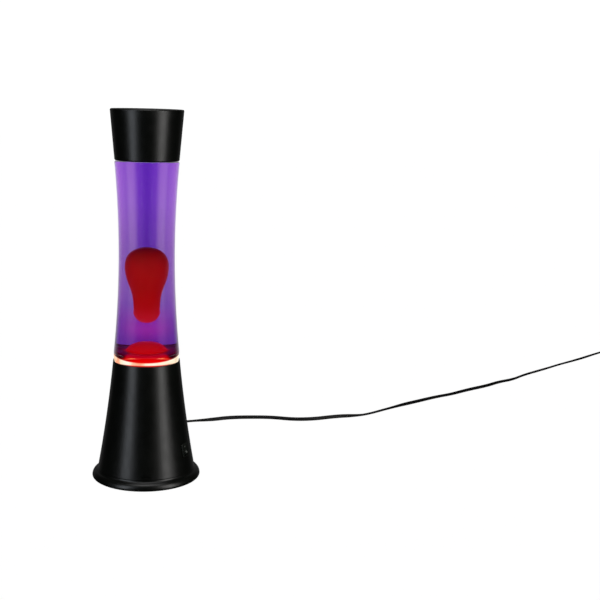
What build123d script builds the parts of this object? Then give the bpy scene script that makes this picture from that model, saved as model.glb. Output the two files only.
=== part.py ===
from build123d import *

import math
import os

# A lava lamp: a spun metal base with a reflector bulb inside, an hourglass bottle of coloured
# liquid and wax standing in the base's mouth, and a loose metal cap over the bottle's neck.
# Millimetres, +Z up. The origin is on the table, on the lamp's axis. The front faces -Y.

# ---------------------------------------------------------------- driving dimensions
HEIGHT = 395.0            # table to the top of the cap

FLANGE_R = 58.0           # widest part of the rolled foot
FLANGE_Z = 1.0            # the rolled foot hangs this far above the table
CONE_FOOT = (51.85, 12.0)  # radius and height where the cone leaves the foot
CONE_TOP = (35.5, 129.5)  # radius and height where the cone reaches the rim
CONE_SAG = 1.25           # how far the cone's side curves in from a straight line
SHEET = 0.8               # wall of the spun base

SEAT_Z = 126.0            # top of the ledge that carries the bottle
GASKET_T = 1.0
BOTTLE_Z = SEAT_Z + GASKET_T

WAIST_Z = 246.0           # narrowest height of the bottle
WAIST_R = 29.55
WAIST_CURVE = 1070.0      # radius of the bottle's hollow side
GLASS_T = 2.4
HEEL_Z = 139.5            # the side curve starts here, above the rounded heel
BEAD_Z = 340.0            # and ends here, at the shoulder
PUNT_Z = 133.4            # underside of the bottle, at the middle
FLOOR_Z = 139.2           # inside floor of the bottle, at the middle
NECK_TOP = 381.0

CAP_Z = 342.2             # lower edge of the cap
CAP_TOP_R = 38.3
CAP_LOW_R = 33.75
CAP_SHEET = 1.0

WAX_TOP = 252.4           # the floating wax
WAX_LOW = 171.0
WAX_R = 16.9
POOL_TOP = 150.6          # the wax left at the bottom
FILM_Z = 140.6            # and the layer of it round the dome
LIQUID_TOP = 344.6
CHANNEL_R = 17.6          # free way that the floating wax travels in

PLATE_Z = 2.2             # underside of the bottom plate
PLATE_T = 1.2
PLATE_R = 52.4
TAB_ANGLES = (30.0, 150.0, 270.0)
TAB_R = 47.6
FOOT_ANGLES = (45.0, 135.0, 225.0, 315.0)
FOOT_R = 43.0

BRIDGE_Z = 39.2           # top of the lamp holder's bridge
BRIDGE_W = 14.0
BRIDGE_X = 15.0           # half its span
BRIDGE_T = 1.2
BRIDGE_SCREW_X = 20.0

HOLDER_R = 13.5
HOLDER_TOP = 76.0
WIRE_HOLES = ((-3.5, 8.8), (3.5, -8.8))
TIP_Z = 49.5              # tip of the screwed-in bulb
BULB_R = 19.5             # 39 mm reflector bulb
BULB_TOP = 116.0

SWITCH_AZ = 57.0          # degrees from the front, towards +X
SWITCH_Z = 36.0
ROCKER_TILT = 11.0        # the rocker leans this far to either side

CORD_R = 2.4
GLAND_Z = 18.0
GLAND_ROOT = 54.4
GLAND_END = 78.0
COIL_TURN_R = 26.4        # middle of the coil's turns
COIL_HALF = 7.2
COIL_H = 9.6
COIL_X = 793.0
COIL_Y = 558.0
PLUG_X = 836.0
PLUG_Y = 464.0             # its pin face; the cord enters at its other end
PLUG_T = 13.7
PLUG_W = 35.3
PLUG_L = 36.0

# The cord's way from the gland over the table to its coil, and from the coil to the plug.
CORD_POINTS = [
    (0.0, GLAND_END, GLAND_Z), (0.0, 96.0, GLAND_Z), (-2.0, 118.0, 11.5), (-1.0, 140.0, 3.6),
    (9.0, 165.0, 2.4), (29.0, 187.0, 2.4), (56.0, 198.0, 2.4), (84.0, 199.5, 2.4),
    (106.0, 207.5, 2.4), (134.0, 208.5, 2.4), (161.0, 206.5, 2.4), (187.0, 196.0, 2.4),
    (214.0, 196.5, 2.4), (242.0, 206.5, 2.4), (268.0, 210.5, 2.4), (291.0, 220.0, 2.4),
    (323.0, 246.0, 2.4), (362.0, 271.0, 2.4), (402.0, 299.0, 2.4), (426.0, 311.0, 2.4),
    (458.0, 334.5, 2.4), (491.0, 354.5, 2.4), (517.0, 377.0, 2.4), (540.0, 389.0, 2.4),
    (567.0, 417.0, 2.4), (608.0, 449.0, 2.4), (652.0, 486.0, 2.4), (697.0, 519.0, 2.4),
    (740.0, 557.0, 2.4), (773.0, 583.0, 2.4),
]
LEAD_POINTS = [
    (819.4, 558.0, 7.2), (821.0, 542.0, 7.0), (830.0, 528.0, 6.85), (PLUG_X, 514.0, 6.85),
    (PLUG_X, 500.0, 6.85),
]


# ---------------------------------------------------------------- helpers
def cone_r(z):
    """Outer radius of the base's cone at a height."""
    t = (z - CONE_FOOT[1]) / (CONE_TOP[1] - CONE_FOOT[1])
    straight = CONE_FOOT[0] + (CONE_TOP[0] - CONE_FOOT[0]) * t
    return straight - 4 * CONE_SAG * t * (1 - t)


def glass_r(z, depth=0.0):
    """Radius of the bottle's side at a height, some depth under its outer surface."""
    reach = math.sqrt((WAIST_CURVE + depth) ** 2 - (z - WAIST_Z) ** 2)
    return WAIST_R + WAIST_CURVE - reach


def cap_r(z):
    """Outer radius of the cap at a height."""
    z_low = CAP_Z + 1.8
    return CAP_LOW_R + (CAP_TOP_R - CAP_LOW_R) * (z - z_low) / (HEIGHT - z_low)


def dome(edge_r, edge_z, top_z):
    """An arc centred on the axis, from its edge to its middle; it dishes when the middle is lower."""
    rise = top_z - edge_z
    radius = (rise ** 2 + edge_r ** 2) / (2 * rise)
    half = math.asin(edge_r / abs(radius)) / 2
    middle = (abs(radius) * math.sin(half), top_z - radius * (1 - math.cos(half)))
    return ThreePointArc((edge_r, edge_z), middle, (0, top_z))


def side_arc(z_from, z_to, depth=0.0):
    """The bottle's hollow side as an arc between two heights."""
    points = [(glass_r(z, depth), z) for z in (z_from, (z_from + z_to) / 2, z_to)]
    return ThreePointArc(*points)


def turned(*edges):
    """A solid of revolution about Z, from an outline of edges given as radius and height."""
    return revolve(Plane.XZ * make_face(Curve() + list(edges)), Axis.Z)


def turned_points(*points):
    """A solid of revolution from straight-sided outline points."""
    return turned(*Polyline(*points, close=True).edges())


def ring(outer, inner, z_low, z_high):
    """A plain ring, or a disc when the inner radius is zero."""
    return turned_points((inner, z_low), (outer, z_low), (outer, z_high), (inner, z_high))


def block(x_size, y_size, z_low, z_high, x=0.0, y=0.0):
    """A box standing between two heights."""
    return Pos(x, y, (z_low + z_high) / 2) * Box(x_size, y_size, z_high - z_low)


def rod(radius, z_low, z_high, x=0.0, y=0.0):
    """An upright cylinder between two heights."""
    return Pos(x, y, (z_low + z_high) / 2) * Cylinder(radius, z_high - z_low)


def along_y(radius, y_low, y_high, z):
    """A cylinder lying along Y above the lamp's back."""
    return Pos(0, (y_low + y_high) / 2, z) * Rot(90, 0, 0) * Cylinder(radius, y_high - y_low)


def corner_radii(points):
    """Each bend as wide as its two runs allow."""
    radii = []
    for a, b, c in zip(points, points[1:], points[2:]):
        run_in = Vector(*b) - Vector(*a)
        run_out = Vector(*c) - Vector(*b)
        half_turn = math.radians(run_in.get_angle(run_out)) / 2
        radii.append(0.45 * min(run_in.length, run_out.length) / math.tan(half_turn))
    return radii


def tube(points, radius, label):
    """A round cord or wire along its route; prints its length, bends and how full it is."""
    radii = corner_radii(points)
    path = FilletPolyline(*points, radius=radii)
    start = Plane(origin=path @ 0, z_dir=path % 0)
    solid = sweep(start * Circle(radius), path=path)
    fill = solid.volume / (math.pi * radius ** 2 * path.length)
    print(label, "length", round(path.length, 1), "tightest", round(min(radii), 1), "fill", round(fill, 4))
    return solid


def save(node, shape):
    shape.label = node
    export_step(shape, f"parts/{node}.step")


# ---------------------------------------------------------------- base
def base_outline(depth):
    """The spun base's outside, or its inside at a depth of one sheet."""
    foot_r, foot_z = CONE_FOOT
    top_r, top_z = CONE_TOP
    edge_r = FLANGE_R - depth
    low_z = FLANGE_Z + depth
    return [
        ThreePointArc((56.2, low_z), (edge_r - 0.5, 1.7 + depth * 0.6), (edge_r, 3.6)),
        ThreePointArc((edge_r, 3.6), (56.5 - depth * 0.8, 7.1 - depth * 0.7), (53.3, 9.0 - depth)),
        ThreePointArc(
            (53.3, 9.0 - depth),
            (52.2 - depth * 0.7, 10.0 - depth * 0.6),
            (foot_r - depth, foot_z),
        ),
        ThreePointArc(
            (foot_r - depth, foot_z),
            (cone_r((foot_z + top_z) / 2) - depth, (foot_z + top_z) / 2),
            (top_r - depth, top_z),
        ),
    ]


def switch_frame():
    """The rocker switch's own frame: X sideways, Y up the wall, Z out of the wall."""
    azimuth = math.radians(SWITCH_AZ)
    lean = math.atan((cone_r(SWITCH_Z - 5) - cone_r(SWITCH_Z + 5)) / 10)
    sideways = (math.cos(azimuth), math.sin(azimuth), 0)
    outward = (
        math.sin(azimuth) * math.cos(lean),
        -math.cos(azimuth) * math.cos(lean),
        math.sin(lean),
    )
    reach = cone_r(SWITCH_Z)
    centre = (reach * math.sin(azimuth), -reach * math.cos(azimuth), SWITCH_Z)
    return Plane(origin=centre, x_dir=sideways, z_dir=outward)


def base_shell(switch):
    outside = base_outline(0.0)
    inside = base_outline(SHEET)
    rim_out = outside[-1] @ 1
    rim_in = inside[-1] @ 1
    rim = ThreePointArc(rim_out, ((CONE_TOP[0] - SHEET / 2), CONE_TOP[1] + SHEET / 2), rim_in)
    low_out = outside[0] @ 0
    low_in = inside[0] @ 0
    hem = [
        Line(low_out, (53.2, FLANGE_Z)),
        Line((53.2, FLANGE_Z), (53.2, FLANGE_Z + SHEET)),
        Line((53.2, FLANGE_Z + SHEET), low_in),
    ]
    shell = turned(*outside, rim, *inside, *hem)
    for angle in TAB_ANGLES:
        tab = block(7.6, 9.0, PLATE_Z + PLATE_T, 16.0, x=TAB_R)
        tab -= rod(1.25, 0.0, 12.4, x=TAB_R)
        shell += Rot(0, 0, angle) * tab
    shell -= switch * Box(9.2, 13.0, 8.0)
    shell -= along_y(5.15, 40.0, 60.0, GLAND_Z)
    return shell


def seat_ring():
    """Pressed ledge inside the base's mouth, with a skirt that follows the wall."""
    wall = 0.1 + SHEET
    top = cone_r(SEAT_Z) - wall
    low = cone_r(SEAT_Z - 8.5) - wall
    return turned_points(
        (26.5, SEAT_Z - 1.0), (top - 1.0, SEAT_Z - 1.0), (low - 1.0, SEAT_Z - 8.5),
        (low, SEAT_Z - 8.5), (top, SEAT_Z), (26.5, SEAT_Z),
    )


def bottom_plate():
    plate = ring(PLATE_R, 0.0, PLATE_Z, PLATE_Z + PLATE_T)
    for angle in TAB_ANGLES:
        plate -= Rot(0, 0, angle) * rod(1.6, 0.0, 8.0, x=TAB_R)
    for side in (-1, 1):
        plate -= rod(1.7, 0.0, 8.0, x=side * BRIDGE_SCREW_X)
    for step in range(10):
        slot = Pos(31.0, 0, 3.0) * extrude(SlotOverall(13.0, 3.2), 4.0, both=True)
        plate -= Rot(0, 0, 18.0 + 36.0 * step) * slot
    for step in range(6):
        plate -= Rot(0, 0, 60.0 * step) * rod(2.2, 0.0, 8.0, x=9.0)
    return plate


def pan_screw(thread_r, head_r, head_z, top_z):
    """A screw that points up, its pan head below."""
    head = ring(head_r, 0.0, head_z - 1.6, head_z)
    head = chamfer(head.edges().group_by(Axis.Z)[0], 0.5)
    slot = block(0.8, head_r * 2.2, head_z - 1.7, head_z - 0.9)
    return head - slot + rod(thread_r, head_z - 0.1, top_z)


def plate_screws():
    one = pan_screw(1.2, 2.8, PLATE_Z, 11.8)
    return Compound(children=[Rot(0, 0, angle) * Pos(TAB_R, 0, 0) * one for angle in TAB_ANGLES])


def foot():
    pad = ring(6.0, 0.0, 0.0, PLATE_Z)
    return chamfer(pad.edges().group_by(Axis.Z)[0], 0.5)


# ---------------------------------------------------------------- lamp holder
def holder_bridge():
    """Bent strip that lifts the lamp holder off the bottom plate."""
    low = PLATE_Z + PLATE_T
    bridge = block(2 * BRIDGE_X, BRIDGE_W, BRIDGE_Z - BRIDGE_T, BRIDGE_Z)
    for side in (-1, 1):
        leg_x = side * (BRIDGE_X - BRIDGE_T / 2)
        bridge += block(BRIDGE_T, BRIDGE_W, low, BRIDGE_Z, x=leg_x)
        bridge += block(12.0, BRIDGE_W, low, low + BRIDGE_T, x=side * (BRIDGE_X + 4.8))
        bridge -= rod(1.7, 0.0, 8.0, x=side * BRIDGE_SCREW_X)
    bridge -= rod(5.1, BRIDGE_Z - 4.0, BRIDGE_Z + 1.0)
    return bridge


def bridge_screws():
    one = pan_screw(1.5, 2.8, PLATE_Z, 9.6)
    return Compound(children=[Pos(side * BRIDGE_SCREW_X, 0, 0) * one for side in (-1, 1)])


def hex_nut(across_flats, bore_r, z_low, z_high):
    nut = Pos(0, 0, z_low) * extrude(RegularPolygon(across_flats / math.sqrt(3), 6), z_high - z_low)
    return nut - rod(bore_r, z_low - 1.0, z_high + 1.0)


def bridge_nuts():
    low = PLATE_Z + PLATE_T + BRIDGE_T
    one = hex_nut(5.5, 1.55, low, low + 2.4)
    return Compound(children=[Pos(side * BRIDGE_SCREW_X, 0, 0) * one for side in (-1, 1)])


def holder_body():
    """Moulded lamp holder: a terminal chamber below, the threaded sleeve's well above."""
    body = turned_points(
        (5.15, BRIDGE_Z), (12.0, BRIDGE_Z), (HOLDER_R, BRIDGE_Z + 1.5), (HOLDER_R, HOLDER_TOP - 8.0),
        (HOLDER_R - 0.8, HOLDER_TOP - 7.0), (HOLDER_R - 0.8, HOLDER_TOP - 0.8),
        (HOLDER_R - 1.6, HOLDER_TOP), (8.6, HOLDER_TOP), (8.6, 50.0), (10.6, 50.0), (10.6, 42.0),
        (5.15, 42.0),
    )
    for x, y in WIRE_HOLES:
        body -= rod(1.2, BRIDGE_Z - 1.0, 43.0, x=x, y=y)
    return body


def holder_core():
    """Ceramic disc that carries the centre contact."""
    return ring(10.5, 0.0, 44.2, 47.0)


def holder_contact():
    """Sprung brass contact under the bulb's tip."""
    spring_leaf = block(13.0, 4.0, 47.0, 47.5)
    return spring_leaf + ring(2.2, 0.0, 47.5, TIP_Z - 0.1)


def holder_sleeve():
    """Threaded sleeve that the bulb screws into, its thread drawn as rolled waves."""
    wall_out = 8.5
    crest = 7.35
    points = [(wall_out, 50.0), (wall_out, 73.0)]
    turns = 8
    pitch = 23.0 / turns
    for turn in range(turns):
        z = 73.0 - turn * pitch
        points += [(crest, z), (crest, z - pitch * 0.3)]
        points += [(crest + 0.5, z - pitch * 0.5), (crest + 0.5, z - pitch * 0.8)]
    points.append((crest, 50.0))
    return turned_points(*points)


def holder_nipple():
    return ring(5.0, 3.6, 34.0, 43.6)


def holder_nut():
    return hex_nut(14.0, 5.05, 35.0, BRIDGE_Z - BRIDGE_T)


# ---------------------------------------------------------------- bulb
def bulb_glass():
    """Blown reflector envelope, open at its neck for the stem."""
    wall = 0.7
    outside = [
        Line((6.3, 69.0), (6.3, 74.8)),
        Spline((6.3, 74.8), (8.1, 80.0), (12.6, 90.0), (17.6, 99.0), (BULB_R, 106.0),
               tangents=((0.1, 1), (0, 1))),
        dome(BULB_R, 106.0, BULB_TOP),
    ]
    inside = [
        Line((6.3 - wall, 69.0), (6.3 - wall, 75.0)),
        Spline((6.3 - wall, 75.0), (8.1 - wall, 80.3), (12.6 - wall, 90.4), (17.6 - wall, 99.4),
               (BULB_R - wall, 106.0), tangents=((0.1, 1), (0, 1))),
        dome(BULB_R - wall, 106.0, BULB_TOP - wall),
    ]
    ends = [Line((6.3 - wall, 69.0), (6.3, 69.0)), Line((0, BULB_TOP - wall), (0, BULB_TOP))]
    return turned(*outside, *inside, *ends)


def bulb_stem():
    """Glass mount that closes the neck and carries the support wires."""
    return turned_points((0, 69.0), (5.5, 69.0), (5.5, 70.2), (2.4, 76.0), (2.0, 88.0), (0, 88.0))


def bulb_supports():
    wires = []
    for side in (-1, 1):
        route = [(side * 1.2, 0, 88.0), (side * 1.6, 0, 92.0), (side * 6.0, 0, 98.6)]
        path = Polyline(*route)
        start = Plane(origin=path @ 0, z_dir=path % 0)
        wires.append(sweep(start * Circle(0.25), path=path, transition=Transition.ROUND))
    return Compound(children=wires)


def bulb_filament():
    arc = ThreePointArc((-6.4, 0.6, 99.2), (0, 5.6, 99.2), (6.4, 0.6, 99.2))
    start = Plane(origin=arc @ 0, z_dir=arc % 0)
    return sweep(start * Circle(0.45), path=arc)


def bulb_cap():
    """Screw cap with its rolled thread and the flare that holds the neck."""
    inner = 6.4
    crest = 6.95
    root = 6.6
    points = [(inner, 54.0), (root, 54.0)]
    turns = 7
    pitch = 19.0 / turns
    for turn in range(turns):
        z = 54.0 + turn * pitch
        points += [(root, z + pitch * 0.2), (crest, z + pitch * 0.45)]
        points += [(crest, z + pitch * 0.65), (root, z + pitch * 0.9)]
    points += [(root, 73.6), (7.9, 74.6), (7.9, 75.4), (7.5, 75.4), (inner, 74.0)]
    return turned_points(*points)


def bulb_insulator():
    """Black glass between the screw cap and its tip."""
    return turned_points((0, 50.6), (2.6, 50.6), (3.4, 51.2), (6.3, 54.0), (6.3, 56.0), (0, 56.0))


def bulb_contact():
    """Solder tip; it is on the axis, so it looks the same however far the bulb is turned."""
    tip = [
        dome(2.4, 50.6, TIP_Z),
        Line((2.4, 50.6), (0, 50.6)),
        Line((0, 50.6), (0, TIP_Z)),
    ]
    return turned(*tip)


# ---------------------------------------------------------------- bottle and what it holds
def bottle_glass():
    outer_shoulder = (32.0, 341.9)
    outer = [
        dome(27.0, BOTTLE_Z, PUNT_Z),
        Line((27.0, BOTTLE_Z), (31.4, BOTTLE_Z)),
        Spline((31.4, BOTTLE_Z), (34.0, 129.7), (34.9, 134.5), (glass_r(HEEL_Z), HEEL_Z),
               tangents=((1, 0.05), (-0.1, 1))),
        side_arc(HEEL_Z, BEAD_Z),
        ThreePointArc((glass_r(BEAD_Z), BEAD_Z), (33.3, 341.35), outer_shoulder),
        Spline(outer_shoulder, (27.6, 343.6), (19.0, 350.5), (14.0, 360.0), (12.2, 367.0),
               tangents=((-1, 0.1), (0, 1))),
    ]
    finish = Polyline(
        (12.2, 367.0), (12.2, 373.6), (13.3, 374.8), (13.3, 378.2), (12.6, 380.0),
        (11.9, NECK_TOP), (9.8, NECK_TOP), (9.8, 366.0),
    )
    inner_top = 338.0
    inner = [
        Spline((9.8, 366.0), (11.4, 360.0), (16.8, 349.5), (26.5, 341.3),
               (glass_r(inner_top, GLASS_T), inner_top), tangents=((0, -1), (0.1, -1))),
        side_arc(inner_top, 142.5, GLASS_T),
        Spline((glass_r(142.5, GLASS_T), 142.5), (31.2, 138.9), (28.4, 137.3),
               tangents=((0, -1), (-1, 0.02))),
        dome(28.4, 137.3, FLOOR_Z),
        Line((0, FLOOR_Z), (0, PUNT_Z)),
    ]
    return turned(*outer, *finish.edges(), *inner)


def liquid():
    """The coloured liquid, with a free way down its middle for the floating wax."""
    play = GLASS_T + 0.15
    low, high = 152.0, 336.0
    edges = [
        side_arc(low, high, play),
        Line((glass_r(high, play), high), (22.0, 341.4)),
        Line((22.0, 341.4), (18.6, LIQUID_TOP)),
        Line((18.6, LIQUID_TOP), (CHANNEL_R, LIQUID_TOP)),
        Line((CHANNEL_R, LIQUID_TOP), (CHANNEL_R, low)),
        Line((CHANNEL_R, low), (glass_r(low, play), low)),
    ]
    return turned(*edges)


def wax_blob():
    """Pear-shaped wax on its way up, its tail below."""
    crest = (10.0, WAX_TOP - 3.5)
    heel = (8.6, WAX_LOW + 5.4)
    side = Spline(
        crest, (WAX_R, 231.5), (14.3, 213.0), (11.7, 203.4), (10.5, 194.0), (10.2, 184.0), heel,
        tangents=((0.78, -0.625), (-0.435, -0.9)),
    )
    middle = Line((0, WAX_LOW), (0, WAX_TOP))
    return turned(dome(*crest, WAX_TOP), side, dome(*heel, WAX_LOW), middle)


def wax_pool():
    """Wax on the bottle's floor: a dome and the layer round it, moulded over the wire coil."""
    gap = 0.1
    edges = [
        dome(28.2, 137.3 + gap, FLOOR_Z + gap),
        ThreePointArc((28.2, 137.3 + gap), (30.6, 138.8), (31.5, FILM_Z)),
        Line((31.5, FILM_Z), (18.4, FILM_Z)),
        ThreePointArc((18.4, FILM_Z), (16.9, FILM_Z + 0.2), (15.9, FILM_Z + 0.9)),
        dome(15.9, FILM_Z + 0.9, POOL_TOP),
        Line((0, POOL_TOP), (0, FLOOR_Z + gap)),
    ]
    return turned(*edges) - ring(25.0, 22.0, 136.0, FILM_Z - 0.5)


def wire_coil():
    """Loose ring of spring wire that spreads the heat at the bottle's floor."""
    path = Pos(0, 0, 138.5) * Helix(pitch=1.0, height=1.0, radius=23.5)
    start = Plane(origin=path @ 0, z_dir=path % 0)
    return sweep(start * Circle(0.45), path=path, is_frenet=True)


def crown_liner():
    return ring(12.4, 0.0, NECK_TOP, NECK_TOP + 0.6)


def crown_cap():
    """Crimped metal closure over the bottle's lip."""
    low = NECK_TOP + 0.6
    cap = turned_points(
        (0, low), (12.9, low), (13.9, low - 1.8), (13.9, low - 4.0), (15.6, low - 5.6),
        (15.9, low - 5.4), (14.6, low - 3.6), (14.3, low - 1.2), (13.3, low + 0.35), (0, low + 0.35),
    )
    for step in range(21):
        cap -= Rot(0, 0, step * 360.0 / 21) * Pos(16.1, 0, low - 4.6) * Cylinder(0.75, 5.4)
    return cap


def cap_shell():
    """The loose top cover: a thin cup that stands upside down on the bottle's shoulder."""
    edge = 1.6
    low_z = CAP_Z + 1.8
    inner_top = HEIGHT - CAP_SHEET
    outer_top = (cap_r(HEIGHT - edge), HEIGHT - edge)
    inner_low = (cap_r(low_z) - CAP_SHEET, low_z)
    edges = [
        ThreePointArc((32.3, CAP_Z), (33.3, CAP_Z + 0.5), (cap_r(low_z), low_z)),
        Line((cap_r(low_z), low_z), outer_top),
        ThreePointArc(outer_top, (cap_r(HEIGHT) - 0.45, HEIGHT - 0.45), (cap_r(HEIGHT) - edge, HEIGHT)),
        Line((cap_r(HEIGHT) - edge, HEIGHT), (0, HEIGHT)),
        Line((0, HEIGHT), (0, inner_top)),
        Line((0, inner_top), (cap_r(inner_top) - 2.0, inner_top)),
        Line((cap_r(inner_top) - 2.0, inner_top), (cap_r(inner_top - 1.2) - CAP_SHEET, inner_top - 1.2)),
        Line((cap_r(inner_top - 1.2) - CAP_SHEET, inner_top - 1.2), inner_low),
        Line(inner_low, (32.3, CAP_Z + 0.9)),
        Line((32.3, CAP_Z + 0.9), (32.3, CAP_Z)),
    ]
    return turned(*edges)


# ---------------------------------------------------------------- rocker switch
ROCKER_PIVOT_Z = -1.2     # under the wall's surface, in the switch's frame


def switch_housing():
    """Snap-in housing: a bezel on the wall and a tub behind it, in the switch's frame."""
    bezel = Pos(0, 0, 0.95) * Box(10.0, 14.0, 1.6)
    bezel = fillet(bezel.edges().filter_by(Axis.Z), 1.0)
    bezel = chamfer(bezel.edges().group_by(Axis.Z)[-1], 0.45)
    tub = Pos(0, 0, -5.85) * Box(8.8, 12.6, 12.2)
    pocket = Pos(0, 0, -2.0) * Box(7.4, 11.4, 8.0)
    pivot = Pos(0, 0, ROCKER_PIVOT_Z) * Rot(0, 90, 0) * Cylinder(0.85, 8.3)
    return bezel + tub - pocket - pivot


def switch_rocker():
    """The rocker, drawn level, with a shallow valley across its face and its pivot pin."""
    half = 4.75
    outline = Polyline(
        (-half, 0.4), (-half, 2.9), (0, 1.5), (half, 2.9), (half, 0.4), (1.6, -2.6), (-1.6, -2.6),
        close=True,
    )
    face = make_face(Plane.YZ * outline)
    body = extrude(face, 3.45, both=True)
    pin = Pos(0, 0, ROCKER_PIVOT_Z) * Rot(0, 90, 0) * Cylinder(0.8, 8.2)
    bar = Pos(0, 3.3, 2.6) * Box(0.6, 1.9, 1.2)
    return body + pin - bar


def switch_terminals():
    blades = [Pos(0, v, -14.9) * Box(2.8, 0.8, 5.9) for v in (-3.6, 3.6)]
    return Compound(children=blades)


def lean_rocker(rocker):
    """The rocker pressed at its upper end, which is on."""
    return Pos(0, 0, ROCKER_PIVOT_Z) * Rot(-ROCKER_TILT, 0, 0) * Pos(0, 0, -ROCKER_PIVOT_Z) * rocker


# ---------------------------------------------------------------- cord and wiring
def filled_base(depth):
    """The base's inside or outside as one solid, to shape what is clamped on its wall."""
    outline = base_outline(depth)
    low = outline[0] @ 0
    top = outline[-1] @ 1
    return turned(*outline, Line(top, (0, top.Y)), Line((0, top.Y), (0, low.Y)), Line((0, low.Y), low))


def strain_relief():
    """Moulded relief: a collar shaped to the wall, a neck through it and a tapered boot."""
    collar = along_y(6.8, 46.0, GLAND_ROOT, GLAND_Z) - filled_base(-0.05)
    neck = along_y(5.0, 42.0, GLAND_ROOT, GLAND_Z)
    boot = Rot(-90, 0, 0) * Cone(5.4, 3.4, GLAND_END - GLAND_ROOT)
    return collar + neck + Pos(0, (GLAND_ROOT + GLAND_END) / 2, GLAND_Z) * boot


def relief_nut():
    nut = along_y(7.4, 43.0, 54.0, GLAND_Z) & filled_base(SHEET + 0.15)
    return nut - along_y(5.05, 40.0, 56.0, GLAND_Z)


def cord_tail():
    return along_y(CORD_R, 34.0, 42.0, GLAND_Z)


def wires(switch):
    """Single cores from the cord's tail to the switch and the lamp holder."""
    upper = (switch.location * Pos(0, 3.6, -17.85)).position
    lower = (switch.location * Pos(0, -3.6, -17.85)).position
    inward = switch.z_dir * -1
    holder_neutral, holder_live = WIRE_HOLES
    routes = {
        "wire_live": [
            (1.3, 34.0, GLAND_Z), (1.3, 29.0, GLAND_Z), (6.0, 23.0, 16.0), (16.0, 15.0, 14.0),
            (28.0, 3.0, 15.0),
            tuple(lower + inward * 7.0 + Vector(2.0, 7.0, -6.0)), tuple(lower + inward * 4.0), tuple(lower),
        ],
        "wire_switched": [
            tuple(upper), tuple(upper + inward * 3.5), (16.0, -15.0, 33.0),
            (holder_live[0] + 1.5, -12.5, 33.5), (holder_live[0], holder_live[1], 36.0),
            (holder_live[0], holder_live[1], 42.0),
        ],
        "wire_neutral": [
            (-1.3, 34.0, GLAND_Z), (-1.3, 28.0, GLAND_Z), (-3.0, 16.0, 23.0),
            (holder_neutral[0], holder_neutral[1], 33.0), (holder_neutral[0], holder_neutral[1], 42.0),
        ],
    }
    return {name: tube(points, 0.9, name) for name, points in routes.items()}


def cord_coil():
    """Outer shape of the wound-up length of the cord."""
    body = Pos(COIL_X, COIL_Y, 0) * ring(COIL_TURN_R + COIL_HALF, COIL_TURN_R - COIL_HALF, 0.0, COIL_H)
    return fillet(body.edges().filter_by(GeomType.CIRCLE), 2.2)


def plug_body():
    """Flat two-pin plug, its cord end towards +Y, lying on the table."""
    half = PLUG_W / 2
    outline = Polyline(
        (-half, 0), (half, 0), (half, 9.0), (half - 4.0, 16.0), (7.0, 30.0), (5.0, PLUG_L),
        (-5.0, PLUG_L), (-7.0, 30.0), (-half + 4.0, 16.0), (-half, 9.0), close=True,
    )
    body = extrude(make_face(outline), PLUG_T)
    body = fillet(body.edges().filter_by(Axis.Z), 2.0)
    body = chamfer(body.edges().group_by(Axis.Z)[-1] + body.edges().group_by(Axis.Z)[0], 1.2)
    return Pos(PLUG_X, PLUG_Y, 0) * body


def plug_pins():
    pins = []
    for side in (-1, 1):
        pin = Rot(90, 0, 0) * Cylinder(2.0, 19.0)
        pin = fillet(pin.edges().group_by(Axis.Y)[0], 1.2)
        pins.append(Pos(PLUG_X + side * 9.3, PLUG_Y - 9.5, PLUG_T / 2) * pin)
    return Compound(children=pins)


# ---------------------------------------------------------------- everything, one file per node
def main():
    os.makedirs("parts", exist_ok=True)
    switch = switch_frame()

    save("base_shell", base_shell(switch))
    save("seat_ring", seat_ring())
    save("seat_gasket", ring(cone_r(BOTTLE_Z) - SHEET - 0.4, 27.0, SEAT_Z, BOTTLE_Z))
    save("bottom_plate", bottom_plate())
    save("plate_screws", plate_screws())
    for number, angle in enumerate(FOOT_ANGLES, start=1):
        save(f"foot_{number}", Rot(0, 0, angle) * Pos(FOOT_R, 0, 0) * foot())

    save("holder_bridge", holder_bridge())
    save("bridge_screws", bridge_screws())
    save("bridge_nuts", bridge_nuts())
    save("holder_body", holder_body())
    save("holder_core", holder_core())
    save("holder_contact", holder_contact())
    save("holder_sleeve", holder_sleeve())
    save("holder_nipple", holder_nipple())
    save("holder_nut", holder_nut())

    save("bulb_glass", bulb_glass())
    save("bulb_stem", bulb_stem())
    save("bulb_supports", bulb_supports())
    save("bulb_filament", bulb_filament())
    save("bulb_cap", bulb_cap())
    save("bulb_insulator", bulb_insulator())
    save("bulb_contact", bulb_contact())

    save("bottle_glass", bottle_glass())
    save("liquid", liquid())
    save("wax_blob", wax_blob())
    save("wax_pool", wax_pool())
    save("wire_coil", wire_coil())
    save("crown_liner", crown_liner())
    save("crown_cap", crown_cap())
    save("cap_shell", cap_shell())

    save("switch_housing", switch * switch_housing())
    save("switch_rocker", switch * lean_rocker(switch_rocker()))
    save("switch_terminals", switch * switch_terminals())

    save("strain_relief", strain_relief())
    save("relief_nut", relief_nut())
    save("cord_tail", cord_tail())
    for name, wire in wires(switch).items():
        save(name, wire)
    save("cord", tube(CORD_POINTS, CORD_R, "cord"))
    save("cord_coil", cord_coil())
    save("cord_lead", tube(LEAD_POINTS, CORD_R, "cord_lead"))
    save("plug_body", plug_body())
    save("plug_pins", plug_pins())


main()
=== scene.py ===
import math

import bmesh
import bpy
from mathutils import Matrix, Vector


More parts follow.
